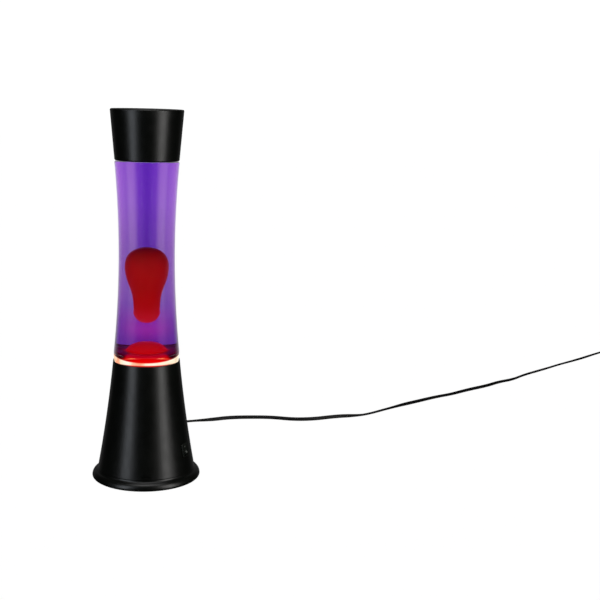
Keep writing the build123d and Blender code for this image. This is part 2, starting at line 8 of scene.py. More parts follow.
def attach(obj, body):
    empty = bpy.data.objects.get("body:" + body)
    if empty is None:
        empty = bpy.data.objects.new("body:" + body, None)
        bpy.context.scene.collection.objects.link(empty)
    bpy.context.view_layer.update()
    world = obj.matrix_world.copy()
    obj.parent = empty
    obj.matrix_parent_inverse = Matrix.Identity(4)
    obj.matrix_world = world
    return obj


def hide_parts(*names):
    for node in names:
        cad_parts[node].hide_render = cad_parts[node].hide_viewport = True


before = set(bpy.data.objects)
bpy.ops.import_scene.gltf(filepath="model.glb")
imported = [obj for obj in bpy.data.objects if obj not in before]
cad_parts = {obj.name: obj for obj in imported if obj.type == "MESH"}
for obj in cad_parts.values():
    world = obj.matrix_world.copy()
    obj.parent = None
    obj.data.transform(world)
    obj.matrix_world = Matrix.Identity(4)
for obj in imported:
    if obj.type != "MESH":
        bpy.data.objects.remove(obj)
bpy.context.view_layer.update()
scene = bpy.context.scene
MM = 0.001


# ---------------------------------------------------------------- camera and stage
CAMERA_AT = (0, -1.1929, 0.4186)
CAMERA_TURN = (7.85, 10.52, 1.583)
LENS = 67.854


def make_camera():
    """The photograph's viewpoint: in front of the lamp, turned so that the cord's side shows."""
    yaw, pitch, roll = (math.radians(a) for a in CAMERA_TURN)
    ahead = Vector((math.sin(yaw) * math.cos(pitch), math.cos(yaw) * math.cos(pitch), -math.sin(pitch)))
    level = Vector((math.cos(yaw), -math.sin(yaw), 0))
    above = level.cross(ahead)
    right = level * math.cos(roll) + above * math.sin(roll)
    up = above * math.cos(roll) - level * math.sin(roll)
    data = bpy.data.cameras.new("camera")
    data.lens = LENS
    data.sensor_width = 36.0
    data.clip_start = 0.05
    data.clip_end = 60.0
    camera = bpy.data.objects.new("camera", data)
    turned = Matrix((right, up, -ahead)).transposed().to_4x4()
    camera.matrix_world = Matrix.Translation(CAMERA_AT) @ turned
    scene.collection.objects.link(camera)
    scene.camera = camera


def new_object(name, mesh):
    obj = bpy.data.objects.new(name, mesh)
    scene.collection.objects.link(obj)
    return obj


def material(name):
    mat = bpy.data.materials.new(name)
    mat.use_nodes = True
    nodes = mat.node_tree.nodes
    nodes.clear()
    out = nodes.new("ShaderNodeOutputMaterial")
    return mat, nodes, mat.node_tree.links, out


def make_stage():
    mesh = bpy.data.meshes.new("floor")
    bm = bmesh.new()
    bmesh.ops.create_circle(bm, cap_ends=True, segments=96, radius=9.0)
    bm.to_mesh(mesh)
    bm.free()
    floor = new_object("floor", mesh)
    mat, nodes, links, out = material("floor_white")
    glow = nodes.new("ShaderNodeEmission")
    glow.inputs["Color"].default_value = (1.0, 1.0, 1.0, 1.0)
    glow.inputs["Strength"].default_value = 1.0
    dull = nodes.new("ShaderNodeBsdfDiffuse")
    dull.inputs["Color"].default_value = (0.25, 0.25, 0.25, 1.0)
    both = nodes.new("ShaderNodeAddShader")
    links.new(glow.outputs[0], both.inputs[0])
    links.new(dull.outputs[0], both.inputs[1])
    links.new(both.outputs[0], out.inputs["Surface"])
    mesh.materials.append(mat)
    floor.visible_glossy = False
    floor.visible_diffuse = False
    floor.visible_transmission = False


def make_world():
    world = bpy.data.worlds.new("studio")
    scene.world = world
    world.use_nodes = True
    nodes, links = world.node_tree.nodes, world.node_tree.links
    nodes.clear()
    out = nodes.new("ShaderNodeOutputWorld")
    paper = nodes.new("ShaderNodeBackground")
    paper.inputs["Color"].default_value = (1.0, 1.0, 1.0, 1.0)
    paper.inputs["Strength"].default_value = 1.05
    dim = nodes.new("ShaderNodeBackground")
    where = nodes.new("ShaderNodeTexCoord")
    split = nodes.new("ShaderNodeSeparateXYZ")
    links.new(where.outputs["Generated"], split.inputs[0])
    behind = nodes.new("ShaderNodeMapRange")
    behind.interpolation_type = "SMOOTHSTEP"
    behind.inputs["From Min"].default_value = 0.6
    behind.inputs["From Max"].default_value = 0.95
    behind.inputs["To Min"].default_value = 0.012
    behind.inputs["To Max"].default_value = 0.13
    links.new(split.outputs["Y"], behind.inputs["Value"])
    links.new(behind.outputs["Result"], dim.inputs["Strength"])
    # Through the bottle: a deep violet light straight ahead and behind, bright ones at the sides.
    aside = nodes.new("ShaderNodeMath")
    aside.operation = "ABSOLUTE"
    links.new(split.outputs["X"], aside.inputs[0])
    panels = nodes.new("ShaderNodeValToRGB")
    ramp = panels.color_ramp
    ramp.interpolation = "EASE"
    stops = [
        (0.0, (0.75, 0.59, 0.98)), (0.13, (1.0, 0.98, 1.1)), (0.24, (1.8, 2.9, 1.28)),
        (0.30, (1.8, 2.9, 1.28)),
        (0.42, (1.36, 1.65, 1.18)), (0.65, (1.5, 1.65, 1.26)), (1.0, (1.4, 1.5, 1.2)),
    ]
    while len(ramp.elements) < len(stops):
        ramp.elements.new(0.5)
    for element, (position, colour) in zip(ramp.elements, stops):
        element.position = position
        element.color = (*colour, 1.0)
    links.new(aside.outputs[0], panels.inputs["Fac"])
    through = nodes.new("ShaderNodeBackground")
    links.new(panels.outputs["Color"], through.inputs["Color"])
    path = nodes.new("ShaderNodeLightPath")
    mix = nodes.new("ShaderNodeMixShader")
    links.new(path.outputs["Is Transmission Ray"], mix.inputs[0])
    links.new(dim.outputs[0], mix.inputs[1])
    links.new(through.outputs[0], mix.inputs[2])
    last = nodes.new("ShaderNodeMixShader")
    links.new(path.outputs["Is Camera Ray"], last.inputs[0])
    links.new(mix.outputs[0], last.inputs[1])
    links.new(paper.outputs[0], last.inputs[2])
    links.new(last.outputs[0], out.inputs["Surface"])


def softbox(name, azimuth, distance, width, height, centre_z, power, colour):
    """A soft light aimed level at the lamp's axis; azimuth runs from the front towards +X."""
    data = bpy.data.lights.new(name, "AREA")
    data.shape = "RECTANGLE"
    data.size = width
    data.size_y = height
    data.energy = power
    data.color = colour
    light = bpy.data.objects.new(name, data)
    a = math.radians(azimuth)
    light.location = (distance * math.sin(a), -distance * math.cos(a), centre_z)
    aim = Vector((-math.sin(a), math.cos(a), 0))
    light.rotation_mode = "QUATERNION"
    light.rotation_quaternion = aim.to_track_quat("-Z", "Y")
    light.visible_camera = False
    light.visible_transmission = False
    scene.collection.objects.link(light)
    return light


def overhead(name, place, size, power):
    """A soft square light over the lamp, facing straight down."""
    data = bpy.data.lights.new(name, "AREA")
    data.shape = "SQUARE"
    data.size = size
    data.energy = power
    light = bpy.data.objects.new(name, data)
    light.location = place
    light.visible_camera = False
    light.visible_transmission = False
    scene.collection.objects.link(light)
    return light


make_camera()
make_stage()
make_world()
scene.view_settings.view_transform = "Standard"
lights = [
    softbox("left_softbox", -48, 1.6, 0.55, 1.8, 0.80, 7.5, (0.88, 0.93, 1.0)),
    softbox("left_softbox_wide", -47, 1.65, 1.00, 1.8, 0.80, 3.0, (0.88, 0.93, 1.0)),
    softbox("right_softbox", 50, 1.6, 0.60, 1.8, 0.80, 10.0, (1.0, 0.985, 0.97)),
    softbox("right_softbox_wide", 50, 1.65, 1.20, 1.8, 0.80, 5.5, (1.0, 0.985, 0.97)),
    overhead("top_softbox", (0.0, -0.35, 1.75), 1.1, 7.0),
]


# ---------------------------------------------------------------- material helpers
class Shade:
    """Small node helper around one Principled shader."""

    def __init__(self, name, base, roughness, metallic=0.0, **sockets):
        self.mat, self.nodes, self.links, self.out = material(name)
        self.bsdf = self.nodes.new("ShaderNodeBsdfPrincipled")
        self.links.new(self.bsdf.outputs[0], self.out.inputs["Surface"])
        self.bsdf.inputs["Base Color"].default_value = (*base, 1.0)
        self.bsdf.inputs["Roughness"].default_value = roughness
        self.bsdf.inputs["Metallic"].default_value = metallic
        for socket, value in sockets.items():
            self.bsdf.inputs[socket.replace("_", " ")].default_value = value
        self.where = self.nodes.new("ShaderNodeTexCoord").outputs["Object"]

    def noise(self, scale, detail=3.0, stretch=(1, 1, 1)):
        at = self.where
        if stretch != (1, 1, 1):
            mapping = self.nodes.new("ShaderNodeMapping")
            mapping.inputs["Scale"].default_value = stretch
            self.links.new(self.where, mapping.inputs["Vector"])
            at = mapping.outputs[0]
        noise = self.nodes.new("ShaderNodeTexNoise")
        noise.inputs["Scale"].default_value = scale
        noise.inputs["Detail"].default_value = detail
        self.links.new(at, noise.inputs["Vector"])
        return noise.outputs["Fac"]

    def spread(self, value, low, high, start=0.3, end=0.7):
        """Maps a value's range onto another."""
        span = self.nodes.new("ShaderNodeMapRange")
        span.inputs["From Min"].default_value = start
        span.inputs["From Max"].default_value = end
        span.inputs["To Min"].default_value = low
        span.inputs["To Max"].default_value = high
        self.links.new(value, span.inputs["Value"])
        return span.outputs["Result"]

    def colours(self, value, *stops):
        """A colour ramp: each stop is a position and a colour."""
        ramp = self.nodes.new("ShaderNodeValToRGB").color_ramp
        node = self.nodes[-1]
        while len(ramp.elements) < len(stops):
            ramp.elements.new(0.5)
        for element, (position, colour) in zip(ramp.elements, stops):
            element.position = position
            element.color = (*colour, 1.0)
        self.links.new(value, node.inputs["Fac"])
        return node.outputs["Color"]

    def height(self, z_low, z_high):
        """0 at one height of the piece, 1 at another, in millimetres."""
        split = self.nodes.new("ShaderNodeSeparateXYZ")
        self.links.new(self.where, split.inputs[0])
        return self.spread(split.outputs["Z"], 0.0, 1.0, z_low * MM, z_high * MM)

    def bump(self, value, depth, strength=1.0):
        bump = self.nodes.new("ShaderNodeBump")
        bump.inputs["Distance"].default_value = depth * MM
        bump.inputs["Strength"].default_value = strength
        self.links.new(value, bump.inputs["Height"])
        self.links.new(bump.outputs[0], self.bsdf.inputs["Normal"])

    def put(self, value, socket):
        self.links.new(value, self.bsdf.inputs[socket])


def finish_of(name, light, dark, rough, scale, grain, depth, metallic=0.0, stretch=(1, 1, 1), **sockets):
    """A plain made surface: two close colours in patches, uneven gloss and a fine grain."""
    s = Shade(name, light, rough[0], metallic, **sockets)
    patches = s.noise(scale, 4.0, stretch)
    s.put(s.colours(patches, (0.35, dark), (0.65, light)), "Base Color")
    s.put(s.spread(s.noise(scale * 2.3, 3.0, stretch), rough[0], rough[1]), "Roughness")
    s.bump(s.noise(grain, 2.0, stretch), depth)
    return s.mat


def dress(mat, *nodes):
    for node in nodes:
        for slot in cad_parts[node].material_slots:
            slot.material = mat


# ---------------------------------------------------------------- mesh helpers
def lathe(name, outline, segments=224, sharp=40.0):
    """A turned surface about Z from radii and heights in millimetres. Ends on the axis are poles."""
    mesh = bpy.data.meshes.new(name)
    bm = bmesh.new()
    rings = []
    for radius, z in outline:
        if radius < 1e-6:
            rings.append([bm.verts.new((0, 0, z * MM))])
            continue
        ring = []
        for i in range(segments):
            a = 2 * math.pi * i / segments
            ring.append(bm.verts.new((radius * MM * math.cos(a), radius * MM * math.sin(a), z * MM)))
        rings.append(ring)
    for low, high in zip(rings, rings[1:]):
        for i in range(segments):
            j = (i + 1) % segments
            if len(low) == 1 and len(high) == 1:
                continue
            if len(low) == 1:
                bm.faces.new((low[0], high[j], high[i]))
            elif len(high) == 1:
                bm.faces.new((low[i], low[j], high[0]))
            else:
                bm.faces.new((low[i], low[j], high[j], high[i]))
    bm.to_mesh(mesh)
    bm.free()
    smooth(mesh, sharp)
    return new_object(name, mesh)


def smooth(mesh, sharp=40.0):
    for face in mesh.polygons:
        face.use_smooth = True
    mesh.set_sharp_from_angle(angle=math.radians(sharp))


def bend(points, steps=8):
    """A rounded line through outline points."""
    line = []
    ends = [points[0]] + list(points) + [points[-1]]
    for p0, p1, p2, p3 in zip(ends, ends[1:], ends[2:], ends[3:]):
        for k in range(steps):
            t = k / steps
            line.append(tuple(
                0.5 * (
                    2 * b + (c - a) * t + (2 * a - 5 * b + 4 * c - d) * t * t
                    + (3 * b - a - 3 * c + d) * t ** 3
                )
                for a, b, c, d in zip(p0, p1, p2, p3)
            ))
    line.append(tuple(points[-1]))
    return line


def wear(name, obj, mat, body, slot, *nodes):
    """Gives a new piece its material and body and hides the CAD nodes it stands for; slot is not used."""
    obj.data.materials.clear()
    obj.data.materials.append(mat)
    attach(obj, body)
    if nodes:
        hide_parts(*nodes)


# ---------------------------------------------------------------- cord
CORD_W = 4.8
CORD_T = 2.4
REST = CORD_W / 2
route = [
    (0, 78, 18), (0, 96, 18), (-2, 118, 11.5), (-1, 140, 3.6), (9, 165, 2.4), (29, 187, 2.4),
    (56, 198, 2.4), (84, 199.5, 2.4), (106, 207.5, 2.4), (134, 208.5, 2.4), (161, 206.5, 2.4),
    (187, 196, 2.4), (214, 196.5, 2.4), (242, 206.5, 2.4), (268, 210.5, 2.4), (291, 220, 2.4),
    (323, 246, 2.4), (362, 271, 2.4), (402, 299, 2.4), (426, 311, 2.4), (458, 334.5, 2.4),
    (491, 354.5, 2.4), (517, 377, 2.4), (540, 389, 2.4), (567, 417, 2.4), (608, 449, 2.4),
    (652, 486, 2.4), (697, 519, 2.4), (740, 557, 2.4),
]
COIL = (793.0, 558.0)
COIL_R = 31.6
COIL_TURNS = 2.3575
COIL_STEPS = 36
COIL_START = 128.7


def climb(value, start, length):
    """0 until start, 1 from a length past it, straight between."""
    return min(1.0, max(0.0, (value - start) / length))


for step in range(COIL_STEPS + 1):
    turn = step / COIL_STEPS * COIL_TURNS
    angle = math.radians(COIL_START - 360 * turn)
    radius = COIL_R - 5.2 * climb(turn, 0.75, 0.5)
    radius += 2.4 * (climb(turn, 1.75, 0.35) - climb(turn, 2.2, 0.15))
    lift = REST + 4.3 * climb(turn, 1.7, 0.35)
    route.append((COIL[0] + radius * math.cos(angle), COIL[1] + radius * math.sin(angle), lift))
route += [(821, 542, 7.0), (830, 528, 6.85), (836, 514, 6.85), (836, 500, 6.85)]


def cord_line():
    """The cord's own line, read back from its spline."""
    curve = bpy.data.curves.new("cord_route", "CURVE")
    curve.dimensions = "3D"
    spline = curve.splines.new("NURBS")
    spline.points.add(len(route) - 1)
    for point, place in zip(spline.points, route):
        point.co = (place[0] * MM, place[1] * MM, place[2] * MM, 1.0)
    spline.use_endpoint_u = True
    spline.order_u = 3
    curve.resolution_u = 10
    holder = new_object("cord_route", curve)
    line = bpy.data.meshes.new_from_object(holder)
    points = [v.co.copy() for v in line.vertices]
    bpy.data.objects.remove(holder)
    bpy.data.meshes.remove(line)
    bpy.data.curves.remove(curve)
    return points


def eased_stretch(run, start, end, ease=40.0):
    """1 along a stretch of the cord and 0 outside it, in millimetres of run, eased at both ends."""
    share = min(1.0, max(0.0, min(run - start, end - run) / ease))
    return share * share * (3 - 2 * share)


def flex_roll(run):
    """How far the flat flex leans, in radians: nearly on edge at first, then flat, then leaning again."""
    lean = 0.95 * eased_stretch(run, 150.0, 385.0) + 0.55 * eased_stretch(run, 430.0, 720.0)
    return lean + 0.05 + 0.1 * math.sin(run / 23.0)


def flat_flex(points):
    """Twin flat cord that leans as flex_roll says and rests on the table."""
    outline = []
    for k in range(20):
        a = 2 * math.pi * k / 20
        pinch = 1.0 - 0.16 * math.exp(-((math.cos(a)) / 0.22) ** 2)
        width = CORD_W / 2 * math.copysign(abs(math.cos(a)) ** 0.86, math.cos(a))
        outline.append((width, CORD_T / 2 * math.sin(a) * pinch))
    mesh = bpy.data.meshes.new("cord_flex")
    bm = bmesh.new()
    centre = []
    rings = []
    run = 0.0
    for i, p in enumerate(points):
        before = points[max(i - 1, 0)]
        after = points[min(i + 1, len(points) - 1)]
        along = (after - before).normalized()
        run += (p - before).length / MM
        ground = climb(p.z / MM, REST, 4.0)
        roll = flex_roll(run) * (1 - 0.6 * ground)
        across = Vector((0, 0, 1)).cross(along).normalized()
        upward = along.cross(across).normalized()
        half = CORD_T / 2 + (CORD_W - CORD_T) / 2 * abs(math.sin(roll))
        drop = (REST - half) * (1 - ground)
        mid = p - Vector((0, 0, drop * MM))
        centre.append(mid)
        side = across * math.cos(roll) + upward * math.sin(roll)
        rise = upward * math.cos(roll) - across * math.sin(roll)
        rings.append([bm.verts.new(mid + (side * x + rise * y) * MM) for x, y in outline])
    for a, b in zip(rings, rings[1:]):
        for k in range(len(outline)):
            m = (k + 1) % len(outline)
            bm.faces.new((a[k], b[k], b[m], a[m]))
    bm.faces.new(rings[0])
    bm.faces.new(list(reversed(rings[-1])))
    bmesh.ops.recalc_face_normals(bm, faces=bm.faces)
    bm.to_mesh(mesh)
    bm.free()
    smooth(mesh, 60.0)
    return new_object("cord_flex", mesh), centre


def rings_mesh(name, rings, sharp=35.0):
    """A closed skin over rings of points in metres, with its first and last ring capped."""
    mesh = bpy.data.meshes.new(name)
    bm = bmesh.new()
    made = [[bm.verts.new(p) for p in ring] for ring in rings]
    count = len(made[0])
    for a, b in zip(made, made[1:]):
        for k in range(count):
            m = (k + 1) % count
            bm.faces.new((a[k], b[k], b[m], a[m]))
    bm.faces.new(made[0])
    bm.faces.new(list(reversed(made[-1])))
    bmesh.ops.recalc_face_normals(bm, faces=bm.faces)
    bm.to_mesh(mesh)
    bm.free()
    smooth(mesh, sharp)
    return new_object(name, mesh)


def slotted(angle, quarter):
    """1 in a relief's slot and 0 at the two webs that bridge it; the webs change sides from slot to slot."""
    side = abs(math.cos(angle + quarter * math.pi / 2))
    return min(1.0, max(0.0, (side - 0.30) / 0.12))


def relief_boot():
    """The tapered boot: a collar on the wall, a neck through it and slots that let it bend."""
    profile = [(5.0, 42.0, 0, 0), (5.0, 50.0, 0, 0), (6.2, 50.2, 0, 0), (6.8, 50.7, 0, 0), (6.8, 53.5, 0, 0)]
    profile += [(6.5, 54.1, 0, 0), (5.8, 54.5, 0, 0), (5.3, 55.2, 0, 0), (5.2, 56.0, 0, 0)]
    for k in range(7):
        start = 56.6 + 2.75 * k
        for step, depth in ((0.0, 0.0), (0.12, 1.0), (1.05, 1.0), (1.17, 0.0), (1.5, 0.0), (2.4, 0.0)):
            y = start + step
            profile.append((5.2 - 1.75 * (y - 56.0) / 20.5, y, depth * (1.25 - 0.05 * k), k % 2))
    profile += [(3.4, 76.6, 0, 0), (3.35, 77.4, 0, 0), (3.1, 77.85, 0, 0), (2.7, 78.0, 0, 0)]
    rings = []
    for radius, y, depth, quarter in profile:
        ring = []
        for i in range(96):
            a = 2 * math.pi * i / 96
            r = radius - depth * slotted(a, quarter)
            ring.append((r * math.cos(a) * MM, y * MM, (18 + r * math.sin(a)) * MM))
        rings.append(ring)
    return rings_mesh("relief_boot", rings, 30.0)


PLUG = (836.0, 464.0, 6.85)
PINS = (-9.3, 9.3)


def plug_shell():
    """Two-pin plug: a rounded waisted grip with side ribs and a slotted tail round the cord."""
    profile = [
        (15.9, 5.3, 0.0), (17.0, 6.2, 0.35), (17.6, 6.8, 1.2), (17.6, 6.82, 5.0), (17.3, 6.82, 8.5),
        (16.3, 6.7, 11.5),
        (14.7, 6.45, 14.5), (12.9, 6.15, 17.5), (11.2, 5.85, 20.5), (9.7, 5.6, 23.5), (8.4, 5.35, 26.3),
        (7.4, 5.0, 28.6),
        (6.5, 4.5, 29.6), (5.9, 4.1, 30.1), (5.75, 4.0, 31.4), (5.6, 3.9, 33.8), (5.4, 3.8, 35.4),
        (4.9, 3.4, 36.0),
    ]
    line = []
    for (w0, h0, t0), (w1, h1, t1) in zip(profile, profile[1:]):
        pieces = max(1, round((t1 - t0) / 0.22))
        for k in range(pieces):
            f = k / pieces
            line.append((w0 + (w1 - w0) * f, h0 + (h1 - h0) * f, t0 + (t1 - t0) * f))
    line.append(profile[-1])
    rings = []
    for w, h, t in line:
        grip = 0.5 - 0.5 * math.cos(2 * math.pi * (t - 7.0) / 2.1) if 7.0 < t < 24.0 else 0.0
        slot_on = 1.0 if 30.9 < t < 35.2 and (t - 30.9) % 1.5 < 0.7 else 0.0
        quarter = int((t - 30.9) // 1.5) % 2
        ring = []
        for i in range(120):
            a = 2 * math.pi * i / 120
            c, q = math.cos(a), math.sin(a)
            x = w * math.copysign(abs(c) ** 0.55, c)
            z = h * math.copysign(abs(q) ** 0.62, q)
            side = min(1.0, max(0.0, (0.62 - abs(z) / h) / 0.15))
            x -= math.copysign(0.75 * grip * side, c)
            seam = 0.16 if abs(q) < 0.03 and 1.5 < t < 29.0 else 0.0
            shrink = 1.0 - 0.16 * slot_on * slotted(a, quarter)
            x = x * shrink - math.copysign(seam, c)
            ring.append(((PLUG[0] + x) * MM, (PLUG[1] + t) * MM, (PLUG[2] + z * shrink) * MM))
        rings.append(ring)
    return rings_mesh("plug_shell", rings, 34.0)


def pin_rings(x, outline):
    """Rings of one round pin that points to -Y."""
    rings = []
    for radius, y in outline:
        ring = []
        for i in range(40):
            a = 2 * math.pi * i / 40
            across = PLUG[0] + x + radius * math.cos(a)
            ring.append((across * MM, (PLUG[1] + y) * MM, (PLUG[2] + radius * math.sin(a)) * MM))
        rings.append(ring)
    return rings


def join(name, pieces):
    """Puts several new meshes into one piece."""
    first = pieces[0]
    bm = bmesh.new()
    for piece in pieces:
        bm.from_mesh(piece.data)
    bm.to_mesh(first.data)
    bm.free()
    smooth(first.data, 34.0)
    for piece in pieces[1:]:
        spare = piece.data
        bpy.data.objects.remove(piece)
        bpy.data.meshes.remove(spare)
    first.name = name
    return first


def coil_tie(angle):
    """A strap round the coil's turns."""
    a = math.radians(angle)
    out = Vector((math.cos(a), math.sin(a), 0))
    along = Vector((-math.sin(a), math.cos(a), 0))
    centre = Vector((COIL[0], COIL[1], 0))
    loop = []
    inner, outer, low, high, corner = 22.9, 35.6, 0.35, 9.3, 2.4
    for cx, cz, start in ((outer, high, 0), (inner, high, 90), (inner, low, 180), (outer, low, 270)):
        mx = cx - corner if start in (0, 270) else cx + corner
        mz = cz - corner if start in (0, 90) else cz + corner
        for k in range(9):
            b = math.radians(start + 90 * k / 8)
            loop.append((mx + corner * math.cos(b), mz + corner * math.sin(b), math.cos(b), math.sin(b)))
    rings = []
    for k in range(25):
        s = -4.5 + 9.0 * k / 24
        edge = max(0.0, abs(s) - 4.1) / 0.4
        thick = 0.34 * math.sqrt(max(0.05, 1 - edge * edge)) + 0.02 * math.cos(s * 9)
        rings.append((s, thick))
    mesh = bpy.data.meshes.new("coil_tie")
    bm = bmesh.new()
    skins = []
    for sign in (1, -1):
        skin = []
        for s, t in rings:
            skin.append([
                bm.verts.new(
                    (centre + out * (r + sign * t * nx) + along * s + Vector((0, 0, z + sign * t * nz))) * MM
                )
                for r, z, nx, nz in loop
            ])
        skins.append(skin)
    count = len(loop)
    for skin in skins:
        for p, q in zip(skin, skin[1:]):
            for k in range(count):
                m = (k + 1) % count
                bm.faces.new((p[k], q[k], q[m], p[m]))
    for end in (0, -1):
        for k in range(count):
            m = (k + 1) % count
            bm.faces.new((skins[0][end][k], skins[0][end][m], skins[1][end][m], skins[1][end][k]))
    bmesh.ops.recalc_face_normals(bm, faces=bm.faces)
    bm.to_mesh(mesh)
    bm.free()
    smooth(mesh, 40.0)
    return new_object("coil_tie", mesh)


boot = relief_boot()
sleeve = [(1.1, 2.0), (1.9, 1.9), (1.9, -9.0), (1.85, -9.4), (1.75, -9.5), (0.9, -9.5)]
plug = join("plug_shell", [plug_shell()] + [
    rings_mesh("sleeve", pin_rings(x, sleeve)) for x in PINS
])
metal = [
    (0.9, -8.0), (1.7, -8.6), (2.0, -9.6), (2.0, -16.8),
    (1.9, -17.6), (1.6, -18.4), (1.1, -18.85), (0.4, -19.0),
]
prongs = join("plug_prongs", [rings_mesh("prong", pin_rings(x, metal)) for x in PINS])
tie = coil_tie(318.0)

cord_points = cord_line()
flex, flex_line = flat_flex(cord_points)
cord_black = finish_of(
    "cord_black", (0.006, 0.006, 0.006), (0.003, 0.003, 0.003), (0.42, 0.58), 260.0, 1400.0, 0.03,
    Specular_IOR_Level=0.22,
)
wear("cord_flex", flex, cord_black, "base", "cord_black", "cord", "cord_coil", "cord_lead")
wear("relief_boot", boot, cord_black, "base", "cord_black", "strain_relief")
wear("plug_shell", plug, cord_black, "base", "cord_black", "plug_body")
wear("coil_tie", tie, cord_black, "base", "cord_black")
nickel = finish_of(
    "pin_nickel", (0.72, 0.71, 0.68), (0.62, 0.6, 0.57), (0.16, 0.3), 150.0, 900.0, 0.02, metallic=1.0,
)
wear("plug_prongs", prongs, nickel, "base", "pin_nickel", "plug_pins")


# ---------------------------------------------------------------- bottle, liquid and wax
SIDE_CURVE = 1070.0
WAIST_Z = 246.0
WAIST_R = 29.55


def glass_r(z, depth=0.0):
    """Radius of the bottle's hollow side, some depth under its outer surface."""
    reach = math.sqrt((SIDE_CURVE + depth) ** 2 - (z - WAIST_Z) ** 2)
    return WAIST_R + SIDE_CURVE - reach


def heights(low, high, count):
    return [low + (high - low) * k / count for k in range(count + 1)]


foot_line = [(27.0 * k / 8, 133.4 - 6.35 * (k / 8) ** 2) for k in range(8)] + [(27.0, 127.05), (31.4, 127.05)]
heel_line = bend([
    (31.4, 127.05), (33.2, 128.3), (34.35, 130.6), (34.85, 134.5), (glass_r(139.5), 139.5),
], 6)[1:]
side_line = [(glass_r(z), z) for z in heights(139.5, 340.0, 60)][1:]
bead_line = bend([(glass_r(340.0), 340.0), (33.3, 341.35), (32.0, 341.9)], 5)[1:]
shoulder_line = bend([(32.0, 341.9), (27.6, 343.6), (19.0, 350.5), (14.0, 360.0), (12.2, 367.0)], 6)[1:]
neck_line = [
    (12.2, 373.6), (13.3, 374.8), (13.3, 378.2), (12.6, 380.0), (11.9, 380.95), (9.8, 380.95), (9.8, 366.0),
]
air_line = bend([(9.8, 366.0), (11.4, 360.0), (16.8, 349.5), (21.5, 345.1)], 5)[1:] + [(0, 345.1)]
outer_line = foot_line + heel_line + side_line + bead_line + shoulder_line
bottle = lathe("bottle_body", outer_line + neck_line + air_line)


def blend_colours(s, share, first, second):
    """Goes from one colour to another as share goes from 0 to 1; each is a link or a plain colour."""
    mix = s.nodes.new("ShaderNodeMix")
    mix.data_type = "RGBA"
    s.links.new(share, mix.inputs[0])
    for socket, colour in ((mix.inputs[6], first), (mix.inputs[7], second)):
        if isinstance(colour, tuple):
            socket.default_value = (*colour, 1.0)
        else:
            s.links.new(colour, socket)
    return mix.outputs[2]


def arithmetic(s, operation, first, second=None, third=None):
    """One Math node; each input is a link or a number."""
    node = s.nodes.new("ShaderNodeMath")
    node.operation = operation
    for k, value in enumerate((first, second, third)):
        if value is None:
            continue
        if isinstance(value, (int, float)):
            node.inputs[k].default_value = value
        else:
            s.links.new(value, node.inputs[k])
    return node.outputs[0]


def level_offset(s):
    """The level offset from the lamp's axis, in metres."""
    flat = s.nodes.new("ShaderNodeVectorMath")
    flat.operation = "MULTIPLY"
    flat.inputs[1].default_value = (1.0, 1.0, 0.0)
    s.links.new(s.where, flat.inputs[0])
    return flat.outputs[0]


def from_axis(s):
    """Distance from the lamp's axis, in metres."""
    length = s.nodes.new("ShaderNodeVectorMath")
    length.operation = "LENGTH"
    s.links.new(level_offset(s), length.inputs[0])
    return length.outputs["Value"]


def front_share(s):
    """1 on the lamp's own front and back, 0 at its sides: fixed to the piece, wherever it is seen from."""
    outward = s.nodes.new("ShaderNodeVectorMath")
    outward.operation = "NORMALIZE"
    s.links.new(level_offset(s), outward.inputs[0])
    parts = s.nodes.new("ShaderNodeSeparateXYZ")
    s.links.new(outward.outputs[0], parts.inputs[0])
    return arithmetic(s, "ABSOLUTE", parts.outputs["Y"])


BLACK = (0.0, 0.0, 0.0)
glass = Shade("bottle_glass", (1.0, 1.0, 1.0), 0.015, Transmission_Weight=1.0, IOR=1.5, Emission_Strength=1.0)
up = glass.height(127.0, 145.0)
# Painted red shade: below the wax's level the clear glass of the foot is tinted dark red in patches, standing
# in for the wax's red seen in the foot.
glass.put(blend_colours(
    glass, glass.spread(up, 1.0, 0.0, 0.56, 0.72),
    glass.colours(glass.noise(60.0), (0.3, (0.985, 0.99, 1.0)), (0.7, (1.0, 0.995, 1.0))),
    glass.colours(glass.noise(50.0), (0.3, (0.10, 0.005, 0.005)), (0.7, (0.14, 0.008, 0.006))),
), "Base Color")
glass.put(glass.spread(glass.noise(140.0), 0.008, 0.03), "Roughness")
glass.bump(glass.noise(45.0, 1.0), 0.05, 0.25)
skim = glass.nodes.new("ShaderNodeFresnel")
skim.inputs["IOR"].default_value = 1.5
edge = glass.spread(skim.outputs[0], 0.0, 0.95, 0.09, 1.0)
frontness = front_share(glass)
facing = arithmetic(glass, "MULTIPLY_ADD", frontness, -0.97, 1.0)
heel_facing = arithmetic(glass, "MULTIPLY_ADD", frontness, -0.89, 1.0)
# Painted light: the glass's emission paints the heated wax's red in the thick foot and a cream ring of the
# bulb's light at the foot's rim.
ring_share = arithmetic(
    glass, "MULTIPLY",
    glass.spread(arithmetic(glass, "MULTIPLY_ADD", heel_facing, 0.2, up), 0.0, 1.0, 0.22, 0.27),
    glass.spread(arithmetic(glass, "MULTIPLY_ADD", heel_facing, -0.26, up), 1.0, 0.0, 0.31, 0.36),
)
arch = glass.spread(arithmetic(glass, "MULTIPLY_ADD", up, 0.3, facing), 1.0, 0.0, 0.42, 0.50)
fade = glass.spread(up, 1.0, 0.0, 0.62, 1.0)
red_share = arithmetic(
    glass, "MAXIMUM", glass.spread(up, 1.0, 0.0, 0.46, 0.60), arithmetic(glass, "MULTIPLY", arch, fade),
)
painted_cream_glow = glass.colours(
    glass.noise(38.0, 3.0), (0.38, (1.0, 0.42, 0.24)), (0.47, (1.0, 0.86, 0.62)), (0.6, (1.05, 1.0, 0.84)),
)
